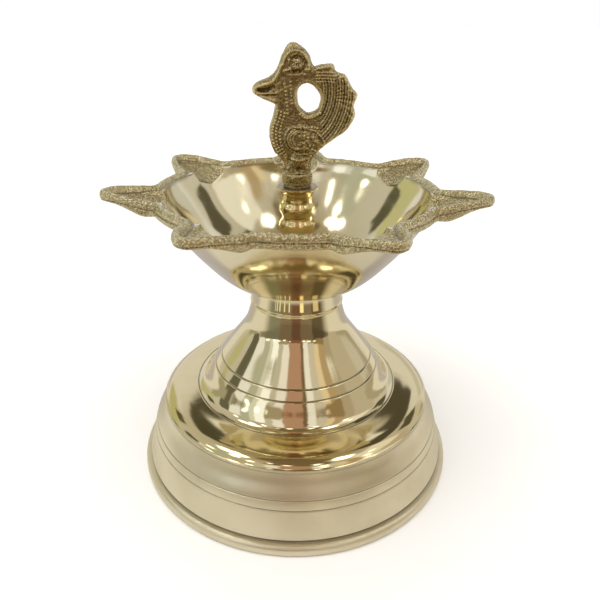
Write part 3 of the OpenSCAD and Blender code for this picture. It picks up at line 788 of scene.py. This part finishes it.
def relief(p):
    """Height of the cast relief over the plate, in mm, at points p (x, height above foot)."""
    x, z = p[:, 0], p[:, 1]
    h = np.zeros(len(p))
    # hood: nested arches over a fan-shaped eye
    h += 0.60 * line_feature(p, spline([[-5.0, 40.0], [-4.4, 42.0], [-2.6, 43.9], [0.2, 44.2], [2.6, 42.6], [3.6, 40.4], [3.7, 38.8]], 6), 0.50)
    h += 0.22 * line_feature(p, spline([[-2.4, 42.6], [-0.4, 43.1], [1.5, 42.2], [2.3, 40.4]], 6), 0.36)
    eye = np.hypot((x + 0.1) / 1.9, (z - 40.3) / 1.9)
    h += 0.42 * fnoise(np.c_[p / 0.7, np.zeros(len(p))], 47, 2) * smoothstep(2.0 - eye, 0, 0.6)
    h += 0.75 * smoothstep(1.1 - eye, 0, 0.7) - 0.35 * gauss(eye - 1.3, 0.2)
    h += 0.16 * np.cos(x * 2 * np.pi / 0.62 + 0.35 * z) * smoothstep(1.2 - eye, 0, 0.3)
    for x0_, x1_ in ((1.2, 2.6), (0.6, 1.6), (-2.2, -3.4)):
        h += 0.30 * line_feature(p, [[x0_, 39.2], [x1_, 42.0]], 0.26)
    h += 0.45 * line_feature(p, spline([[-4.6, 38.0], [-2.2, 38.7], [0.6, 38.8], [3.4, 38.3]], 6), 0.42)
    h += 0.25 * line_feature(p, [[-3.4, 36.8], [2.8, 37.0]], 0.30)
    # brow running into the upper jaw, slit and ribbed lower jaw
    h += 0.80 * line_feature(p, spline([[-13.6, 33.2], [-10.8, 33.9], [-8.4, 34.9], [-6.8, 37.2], [-6.0, 39.9]], 6), 0.72)
    h -= 0.85 * line_feature(p, [[-13.4, 32.0], [-10.8, 32.1], [-8.0, 33.0]], 0.50)
    h += 0.40 * line_feature(p, [[-13.6, 30.9], [-7.2, 31.1]], 0.26)
    h -= 0.35 * line_feature(p, [[-12.6, 30.3], [-7.4, 30.4]], 0.22)
    h += 0.60 * line_feature(p, spline([[-12.4, 29.9], [-10.0, 29.1], [-7.9, 28.6]], 6), 0.55)
    h += 0.30 * line_feature(p, [[-8.8, 32.6], [-6.0, 34.4]], 0.30) + 0.30 * line_feature(p, [[-7.2, 31.2], [-5.2, 32.2]], 0.35)
    # ring round the gap, beads under it and bead strings down neck and breast
    dh = poly_dist(p, hole_pts)
    h += 0.34 * gauss(dh - 0.8, 0.45)
    h += beads(p, spline([[0.4, 24.6], [2.2, 23.3], [4.4, 23.2], [6.2, 23.8], [7.9, 24.9]], 6), 0.95, 0.50, 0.55)
    h += beads(p, spline([[0.0, 20.9], [2.4, 20.3], [5.0, 20.0], [7.6, 19.6]], 6), 0.92, 0.44, 0.45)
    h += 0.35 * line_feature(p, spline([[-0.6, 20.0], [2.4, 19.5], [5.0, 19.2], [7.8, 18.6]], 6), 0.28)
    for off, size in ((0.0, 0.50), (1.3, 0.46), (2.6, 0.42)):
        h += beads(p, spline([[-6.9 + off, 26.0], [-7.3 + off, 23.4], [-8.4 + off, 20.4], [-8.8 + off, 17.6], [-8.4 + off * 0.95, 14.6], [-6.9 + off * 0.85, 11.6], [-5.6 + off * 0.8, 10.2]], 6), 1.12, size, 0.52, 0.5 + off * 0.3)
    h += beads(p, [[-4.6, 34.6], [-3.9, 30.8], [-3.6, 27.0], [-3.4, 23.6]], 1.2, 0.45, 0.35)
    h += beads(p, [[-2.6, 35.2], [-2.2, 31.0], [-2.1, 26.6]], 1.15, 0.40, 0.30)
    # wing: teardrop with nested crescents at its root and pecked middle
    wing = spline([[-4.4, 17.0], [-2.6, 19.6], [1.6, 20.0], [5.6, 18.9], [8.6, 16.4], [9.6, 14.0], [7.2, 12.4], [4.2, 11.2], [0.6, 11.0], [-2.6, 12.4], [-4.2, 14.6], [-4.4, 17.0]], 6)
    in_w = point_in(p, wing)
    dw = poly_dist(p, wing)
    h += 0.60 * smoothstep(dw, 0.0, 1.8) * in_w + 0.42 * gauss(dw, 0.34)
    for k in range(3):
        q = 0.95 * k
        h += (0.50 - 0.08 * k) * line_feature(p, spline([[-1.4 + q, 19.2 - 0.3 * k], [-3.2 + q, 17.2], [-3.3 + q, 15.2], [-2.0 + q, 13.2], [-0.6 + q, 12.5 + 0.2 * k]], 6), 0.27)
    h += 0.45 * line_feature(p, spline([[7.0, 18.2], [8.6, 16.4], [9.2, 14.6], [8.6, 13.2]], 6), 0.34)
    peck = fnoise(np.c_[p / 0.62, np.zeros(len(p))], 31, 1)
    h += 0.30 * peck * in_w * smoothstep(x, -0.5, 1.0)
    # tail: fine ribs standing beside the gap and sweeping round under it
    cx, cz = 0.5, 31.5
    rad_ = np.hypot(x - cx, (z - cz) * 0.80)
    tail = smoothstep(dh, 1.2, 1.8) * smoothstep(x, 7.2, 8.6) * smoothstep(z, 13.5, 16.0) * (1 - in_w) * smoothstep(36.2 - z, 0, 1.0)
    h += tail * 0.22 * np.cos(2 * np.pi * rad_ / 0.92)
    h += tail * 0.16 * np.cos(2 * np.pi * rad_ / 2.76)
    # scalloped tips: short strokes pointing outward
    d_edge = poly_dist(p, np.array(tail_top))
    fan = np.degrees(np.arctan2(z - 30.0, x - 9.5))
    h += 0.22 * np.cos(fan * 2 * np.pi / 13.0) * gauss(d_edge - 0.9, 0.7) * smoothstep(x, 11.5, 13)
    h += 0.20 * gauss(d_edge - 2.1, 0.30) * smoothstep(x, 13.5, 15)
    # feathers lying over the tail's root
    h += 0.70 * line_feature(p, spline([[5.8, 38.7], [8.4, 39.4], [10.8, 39.9]], 6), 0.46)
    for k in range(4):
        h += 0.36 * line_feature(p, spline([[6.2, 37.6 - 0.95 * k], [8.6, 37.7 - 0.95 * k], [11.6 + 0.3 * k, 37.6 - 1.0 * k]], 6), 0.27)
    # root of the plate: bright knobs, a pit and two stems
    h += beads(p, [[4.6, 12.9], [6.0, 12.3], [7.0, 12.4]], 1.1, 0.55, 0.55) + beads(p, [[4.4, 10.6], [5.2, 9.4]], 1.2, 0.55, 0.5)
    h += 0.5 * line_feature(p, [[-4.2, 9.6], [-3.6, 6.0]], 0.55) + 0.5 * line_feature(p, [[3.9, 9.2], [3.4, 6.0]], 0.55)
    h += 0.35 * line_feature(p, [[-2.4, 9.4], [0.4, 8.8], [3.0, 9.2]], 0.4)
    h -= 1.25 * gauss(np.hypot(x - 0.5, (z - 5.6) * 1.0), 1.05)
    return h


def point_in(p, poly):
    inside_ = np.zeros(len(p), bool)
    a, b = poly, np.roll(poly, -1, 0)
    for (x0, z0), (x1, z1) in zip(a, b):
        if z0 == z1:
            continue
        c_ = ((z0 > p[:, 1]) != (z1 > p[:, 1])) & (p[:, 0] < (x1 - x0) * (p[:, 1] - z0) / (z1 - z0) + x0)
        inside_ ^= c_
    return inside_.astype(float)


def plate_mesh(name, outer, hole, t):
    """Flat plate from -t/2 to t/2 along Y, with a hole, as a closed mesh in mm."""
    bm = bmesh.new()
    loops = [[Vector((x_, z_, 0)) for x_, z_ in poly] for poly in (outer, hole)]
    vs = [bm.verts.new((v_.x, 0, v_.y)) for loop in loops for v_ in loop]
    for tri in tessellate_polygon(loops):
        bm.faces.new([vs[i] for i in tri])
    geo = bmesh.ops.extrude_face_region(bm, geom=bm.faces[:])
    vs = [g for g in geo["geom"] if isinstance(g, bmesh.types.BMVert)]
    bmesh.ops.translate(bm, verts=vs, vec=(0, t, 0))
    bmesh.ops.translate(bm, verts=bm.verts, vec=(0, -t / 2, 0))
    bmesh.ops.recalc_face_normals(bm, faces=bm.faces)
    me = bpy.data.meshes.new(name)
    bm.to_mesh(me)
    bm.free()
    o = bpy.data.objects.new(name, me)
    bpy.context.scene.collection.objects.link(o)
    return o


def apply_mod(o, kind, **kw):
    m = o.modifiers.new("m", kind)
    for k, v_ in kw.items():
        setattr(m, k, v_)
    dg = bpy.context.evaluated_depsgraph_get()
    me = bpy.data.meshes.new_from_object(o.evaluated_get(dg))
    o.modifiers.clear()
    old = o.data
    o.data = me
    bpy.data.meshes.remove(old)
    return o


plate = plate_mesh("bird_plate", bird_pts, hole_pts, 4.6)
foot_m = lathe("bird_foot", rounded([[0, 0], [5.0, 0], [5.45, 0.4], [5.45, 3.2], [5.1, 4.1], [0, 4.15]], [0, 0.2, 0.3, 0.4, 0.4, 0], 3), 96)
set_verts(foot_m, verts(foot_m) / MM)
neckf = lathe("bird_neck", rounded([[0, 3.0], [5.0, 3.2], [4.9, 5.2], [4.4, 8.4], [3.2, 11.6], [0, 12.8]], [0, 0.6, 1.0, 1.4, 1.0, 0], 3), 64)
nv = verts(neckf) / MM
nv[:, 1] *= 0.80
set_verts(neckf, nv)
bird = join("bird_finial_piece", [plate, foot_m, neckf])
VOX = 0.19
apply_mod(bird, "REMESH", mode="VOXEL", voxel_size=VOX)
co = verts(bird)
p2 = co[:, [0, 2]]
d_out = np.minimum(poly_dist(p2, bird_pts), poly_dist(p2, hole_pts))
on_plate = smoothstep(co[:, 2], 4.0, 4.8)
sgn = np.tanh(co[:, 1] / 0.8)
# pillow cross-section, rounded to the outline
ht = 2.35 * np.sqrt(np.clip(1 - (1 - np.clip(d_out / 1.7, 0, 1)) ** 2, 0, 1)) * 0.92 + 0.18
body_bulge = 0.9 * gauss(np.hypot((p2[:, 0] - 0.5) / 1.4, p2[:, 1] - 15.0), 5.6) + 0.45 * gauss(np.hypot(p2[:, 0] + 0.8, p2[:, 1] - 40.6), 4.0) - 0.35 * smoothstep(p2[:, 0], 9, 17)
face_pt = np.abs(co[:, 1]) > 1.9
newy = sgn * np.clip(ht + body_bulge * smoothstep(d_out, 0, 2.2), 0.25, None)
co_plate = co.copy()
co_plate[:, 1] = np.where(np.abs(co[:, 1]) > 0.1, np.abs(co[:, 1]) / 2.3 * newy, co[:, 1])
rel = relief(p2) * smoothstep(d_out, 0.15, 0.95)
co_plate[:, 1] += np.sign(co[:, 1]) * rel * smoothstep(np.abs(co[:, 1]), 0.9, 2.2)
keep_neck = np.hypot(co[:, 0] / 4.9, co[:, 1] / 3.9)
co = co * (1 - on_plate[:, None]) + co_plate * on_plate[:, None]
g = fnoise(co / 1.3, 11, 3) * 0.07 + fnoise(co / 0.42, 12, 2) * 0.055
bm = bmesh.new()
bm.from_mesh(bird.data)
nrm = np.array([v_.normal for v_ in bm.verts])
bm.free()
co = co + nrm * g[:, None]
co[:, 2] = np.clip(co[:, 2], 0.02, None)
co[:, 2] += FZ
set_verts(bird, co * MM)
bird.data.polygons.foreach_set("use_smooth", [True] * len(bird.data.polygons))
set_attr(bird, "cast", np.ones(len(co)))
E_ = np.zeros(len(bird.data.edges) * 2, np.int32)
bird.data.edges.foreach_get("vertices", E_)
E_ = E_.reshape(-1, 2)
deg = np.bincount(E_.ravel(), minlength=len(co))[:, None]
nrm = np.zeros(len(co) * 3)
bird.data.vertices.foreach_get("normal", nrm)
nrm = nrm.reshape(-1, 3)
sm_ = co.copy()
for _ in range(22):
    acc = np.zeros_like(sm_)
    for k in range(3):
        acc[:, k] = np.bincount(E_[:, 0], sm_[E_[:, 1], k], len(co)) + np.bincount(E_[:, 1], sm_[E_[:, 0], k], len(co))
    sm_ = 0.4 * sm_ + 0.6 * acc / deg
cav = ((sm_ - co) * nrm).sum(1)                   # positive in a hollow
# painted shade in the hollows of the relief
set_attr(bird, "painted_crease_shade", 0.72 * smoothstep(cav, 0.04, 0.34))
# convex parts painted lighter: rubbed brass, and a painted highlight
set_attr(bird, "ridge_polish_and_highlight", smoothstep(-cav, 0.02, 0.22))
finish_piece(bird, M_BIRD, "finial", "brass_antique", "bird_finial")

# ------------------------------------------------------------------ floor, light and surroundings
def low_band(N, az):
    """What stands low down in front: a few upright folds in plain tones, light at the sides, brown in the middle. The
    floor also shows it to glossy rays, as a painted reflection.
    """
    pale, olive, brown, rose, dark = (0.4, 0.35, 0.25), (0.2, 0.2, 0.15), (0.2, 0.15, 0.1), (0.15, 0.08, 0.05), (0.1, 0.08, 0.05)
    stops = [(-90, pale), (-65, olive), (-40, olive), (-35, brown), (-12, brown), (-8, rose), (8, rose),
             (12, brown), (35, brown), (38, dark), (60, dark), (90, pale)]
    return N.ramp(N.mapr(az, -90, 90, smooth=False), [((a_ + 90) / 180, c_) for a_, c_ in stops])


def floor():
    me = bpy.data.meshes.new("floor")
    bm = bmesh.new()
    bmesh.ops.create_circle(bm, cap_ends=True, radius=40, segments=96)
    bm.to_mesh(me)
    bm.free()
    o = bpy.data.objects.new("floor", me)
    bpy.context.scene.collection.objects.link(o)
    m = bpy.data.materials.new("floor")
    N = Nodes(m)
    out = N.add("ShaderNodeOutputMaterial")
    b = N.add("ShaderNodeBsdfPrincipled")
    b.inputs["Roughness"].default_value = 0.9
    geo = N.add("ShaderNodeTexCoord").outputs["Object"]
    xyz = N.add("ShaderNodeSeparateXYZ")
    N.link(geo, xyz.inputs[0])
    az = N.math("MULTIPLY", N.math("ARCTAN2", xyz.outputs[0], N.math("MULTIPLY", xyz.outputs[1], -1.0)), 180 / math.pi)
    ang = N.math("ABSOLUTE", az)
    dist = N.math("SQRT", N.math("ADD", N.math("MULTIPLY", xyz.outputs[0], xyz.outputs[0]), N.math("MULTIPLY", xyz.outputs[1], xyz.outputs[1])))
    # painted reflection: glossy rays see the floor greyer than the camera does; in front, from 10 cm out, they see the
    # low band of tones with coloured stripes nearer the lamp, and behind it a darker zone. The brass mirrors these,
    # while the camera sees a plain pale floor.
    seen = N.add("ShaderNodeLightPath").outputs["Is Glossy Ray"]
    dark = N.math("MULTIPLY", N.math("MULTIPLY", N.mapr(ang, 82, 58), N.mapr(dist, 0.10, 0.15)), seen)
    shade = N.mix(seen, (0.92, 0.92, 0.92), (0.64, 0.63, 0.61))
    two = N.math("ADD", N.math("SINE", N.math("MULTIPLY", az, 1.05)), N.math("MULTIPLY", N.math("SINE", N.math("MULTIPLY", az, 0.61)), 0.8))
    fine = N.mapr(two, 0.1, 0.9)
    near = N.mix(N.math("MULTIPLY", fine, N.mapr(N.math("ABSOLUTE", N.math("ADD", az, 33.0)), 22, 19)), low_band(N, az), (0.80, 0.77, 0.55))
    near = N.mix(N.mapr(N.math("ABSOLUTE", N.math("SUBTRACT", az, 13.0)), 5, 3.5), near, (1.0, 0.86, 0.5))
    near = N.mix(N.mapr(N.math("ABSOLUTE", N.math("SUBTRACT", az, 48.0)), 8, 6), near, (0.62, 0.5, 0.3))
    front = N.mix(N.mapr(dist, 0.30, 0.24), low_band(N, az), near)
    back = N.math("MULTIPLY", N.math("MULTIPLY", N.mapr(ang, 96, 112), N.mapr(dist, 0.36, 0.26)), seen)
    shade = N.mix(back, shade, (0.43, 0.415, 0.44))
    N.link(N.mix(dark, shade, front), b.inputs["Base Color"])
    b.inputs["Specular IOR Level"].default_value = 0.1
    N.link(b.outputs[0], out.inputs[0])
    me.materials.append(m)
    return o


floor()


def surroundings():
    """A soft room seen only in the reflections: azimuth 0 is the front, elevation above the horizon, both in degrees."""
    w_ = bpy.data.worlds.new("studio")
    bpy.context.scene.world = w_
    N = Nodes(w_)
    out = N.add("ShaderNodeOutputWorld")
    tc = N.add("ShaderNodeTexCoord").outputs["Generated"]
    s_ = N.add("ShaderNodeSeparateXYZ")
    N.link(tc, s_.inputs[0])
    az = N.math("MULTIPLY", N.math("ARCTAN2", s_.outputs[0], N.math("MULTIPLY", s_.outputs[1], -1.0)), 180 / math.pi)
    el = N.math("MULTIPLY", N.math("ARCSINE", s_.outputs[2]), 180 / math.pi)
    # uneven edges, as clutter in a room has
    for scale, size in ((7.0, 7.0), (22.0, 2.2)):
        nz = N.add("ShaderNodeTexNoise")
        nz.inputs["Scale"].default_value = scale
        nz.inputs["Detail"].default_value = 2
        N.link(tc, nz.inputs["Vector"])
        sc_ = N.add("ShaderNodeSeparateColor")
        N.link(nz.outputs["Color"], sc_.inputs[0])
        az = N.math("MULTIPLY_ADD", N.math("SUBTRACT", sc_.outputs[0], 0.5), size, az)
        el = N.math("MULTIPLY_ADD", N.math("SUBTRACT", sc_.outputs[1], 0.5), size, el)
    col = N.ramp(N.mapr(el, -10, 90, smooth=False), [(0.0, (0.62, 0.60, 0.56)), (0.3, (0.62, 0.60, 0.54)), (0.62, (0.56, 0.53, 0.46)), (0.78, (0.40, 0.34, 0.22)), (1.0, (0.24, 0.19, 0.11))])
    W1 = (1.15, 1.2, 1.3)
    patches = [
        # az, el, half az, half el, soft, colour, slope
        (180, 10, 45, 22, 10, (0.78, 0.78, 0.80), 0),        # pale wall behind
        (0, 79, 62, 9, 4, (0.17, 0.13, 0.075), 0),           # brown ceiling in front
        (3, 67, 34, 12, 4, (0.20, 0.15, 0.085), 0),
        # front, right of the middle
        (32, 32, 9, 17, 1.5, (0.66, 0.62, 0.56), 0),
        (44, 32, 5, 15, 1.5, (0.84, 0.70, 0.50), 0),
        (55, 32, 7, 16, 2, (0.50, 0.38, 0.23), 0),
        (27, 19, 14, 4, 1.5, (0.34, 0.28, 0.20), 0),
        (50, 18, 10, 6, 2, (0.32, 0.23, 0.12), 0),
        (69, 28, 8, 18, 2, (0.47, 0.40, 0.31), 0),
        (88, 20, 13, 24, 4, (0.56, 0.50, 0.41), 0),
        (80, 44, 19, 10, 3, (0.90, 0.88, 0.84), 0),
        (20, 34, 4, 12, 1.5, (0.95, 0.96, 1.0), 0),
        # front, left of the middle
        (-22, 37, 6, 12, 1.5, (0.95, 0.93, 0.98), 0),
        (-33, 36, 5, 12, 1.5, (0.60, 0.58, 0.52), 0),
        (-26, 21, 12, 4, 2, (0.40, 0.34, 0.24), 0),
        (-49, 40, 9, 9, 1.5, (0.50, 0.48, 0.39), 0),
        (-44, 25, 6, 11, 1.5, W1, 0),
        (-54, 25, 4, 11, 1.5, (0.76, 0.78, 0.76), 0),
        (-63, 32, 5, 18, 1.5, (0.52, 0.54, 0.46), 0),
        (-76, 22, 7, 8, 1.5, (0.92, 0.95, 1.0), 0),
        (-76, 40, 8, 10, 1.5, (0.50, 0.52, 0.43), 0),
        # people and doorways
        (0, 34, 14, 18, 1.5, (0.50, 0.31, 0.225), 0),
        (-4, 18, 12, 4, 2, (0.24, 0.115, 0.07), 0),
        (12, 30, 2, 14, 1.0, (0.20, 0.13, 0.08), 0),
        (-91, 15, 6, 11, 2, (0.15, 0.145, 0.10), 0),
        (110, -2, 15, 8, 4, (0.45, 0.40, 0.31), 0),
        (-103, -2, 9, 8, 4, (0.40, 0.38, 0.28), 0),
        (-124, 17, 14, 9, 4, (0.56, 0.55, 0.32), 0),
        (-118, 28, 6, 4.5, 2, (0.11, 0.105, 0.07), 0),
        (-142, 50, 25, 7, 2.5, (0.085, 0.08, 0.05), 0.3),
        (129, 51, 26, 7.5, 2.5, (0.09, 0.08, 0.055), -0.38),
        (158, 37, 7, 5, 2, (0.09, 0.08, 0.055), 0),
        (120, 32, 9, 6.5, 2, (0.11, 0.10, 0.065), 0),
                (151, 57, 8, 5, 3, (0.90, 0.90, 0.88), 0),
        (-165, 50, 6, 5, 3, (0.90, 0.90, 0.88), 0),
        (150, 12, 14, 7, 3, (0.62, 0.62, 0.58), 0),
    ]
    glints = [
        # az, el, half az, half el, colour, slope: small bright things in the middle distance
        (-62, 18, 4.0, 1.8, (2.2, 2.3, 2.3), 0),
        (-47, 17, 3.0, 2.0, (2.4, 2.4, 2.3), 0),
        (-36, 18, 3.5, 1.6, (2.0, 2.0, 1.9), 0),
        (-25, 16, 3.0, 2.0, (2.4, 2.4, 2.3), 0),
        (-13, 18, 2.0, 1.6, (1.8, 1.6, 1.4), 0),
        (16, 17, 3.0, 2.4, (2.4, 2.3, 2.0), 0),
        (27, 18, 4.5, 1.8, (2.4, 2.3, 2.0), 0),
        (40, 17, 2.4, 1.6, (2.0, 1.8, 1.4), 0),
        # lamps
        (-72, 60, 13, 5, (3.6, 3.6, 3.5), 0),
        (-62, 51, 6, 4, (3.0, 3.0, 2.9), 0),
        (-84, 55, 8, 3.5, (3.2, 3.2, 3.1), 0),
        (61, 62, 14, 5.5, (3.6, 3.6, 3.5), 0),
        (-44, 50, 3.5, 2.8, (3.0, 3.0, 2.9), 0),
        (-28, 59, 4, 1.6, (2.4, 2.4, 2.3), 0),
        (-8, 56, 5, 2, (2.4, 2.3, 2.1), 0),
        (27, 47, 4, 3, (2.4, 2.4, 2.3), 0),
        (24, 58, 5, 2.4, (3.0, 3.0, 2.9), 0),
        (77, 46, 4, 2, (2.2, 2.2, 2.1), 0),
        (66, 39, 3, 4, (2.4, 2.3, 2.1), 0),
        (-78, 37, 4, 2.8, (3.0, 3.0, 2.9), 0),
        (-172, 40, 5, 2.5, (2.0, 2.0, 1.9), 0),
    ]
    low = N.math("MULTIPLY", N.mapr(el, 17, 13), N.mapr(N.math("ABSOLUTE", az), 86, 80))
    col = N.mix(low, col, low_band(N, az))
    for a0, e0, wa, we, soft, c_, slope in patches:
        da = N.math("WRAP", N.math("SUBTRACT", az, float(a0)), 180.0, -180.0)
        de = N.math("SUBTRACT", el, float(e0))
        if slope:
            de = N.math("SUBTRACT", de, N.math("MULTIPLY", da, float(slope)))
        m_ = N.math("MULTIPLY", N.mapr(N.math("ABSOLUTE", da), wa + soft, wa), N.mapr(N.math("ABSOLUTE", de), we + soft, we))
        col = N.mix(m_, col, c_)
    for a0, e0, wa, we, c_, slope in glints:
        da = N.math("WRAP", N.math("SUBTRACT", az, float(a0)), 180.0, -180.0)
        de = N.math("SUBTRACT", el, float(e0))
        if slope:
            de = N.math("SUBTRACT", de, N.math("MULTIPLY", da, float(slope)))
        q = N.math("ADD", N.math("POWER", N.math("ABSOLUTE", N.math("DIVIDE", da, float(wa))), 2.0), N.math("POWER", N.math("ABSOLUTE", N.math("DIVIDE", de, float(we))), 2.0))
        col = N.mix(N.mapr(q, 1.35, 0.75), col, c_)
    bg = N.add("ShaderNodeBackground")
    N.link(col, bg.inputs[0])
    bg.inputs[1].default_value = 1.0
    plain = N.add("ShaderNodeBackground")
    plain.inputs[0].default_value = (1, 1, 1, 1)
    plain.inputs[1].default_value = 1.0
    lp = N.add("ShaderNodeLightPath")
    mx = N.add("ShaderNodeMixShader")
    N.link(lp.outputs["Is Camera Ray"], mx.inputs[0])
    N.link(bg.outputs[0], mx.inputs[1])
    N.link(plain.outputs[0], mx.inputs[2])
    N.link(mx.outputs[0], out.inputs[0])


surroundings()
sun = bpy.data.lights.new("overhead", "SUN")
sun.energy = 2.2
sun.angle = math.radians(70)
key = bpy.data.objects.new("overhead", sun)
bpy.context.scene.collection.objects.link(key)
key.rotation_euler = (math.radians(8), math.radians(-6), 0)
key.visible_glossy = False
bpy.context.scene.view_settings.view_transform = "Standard"
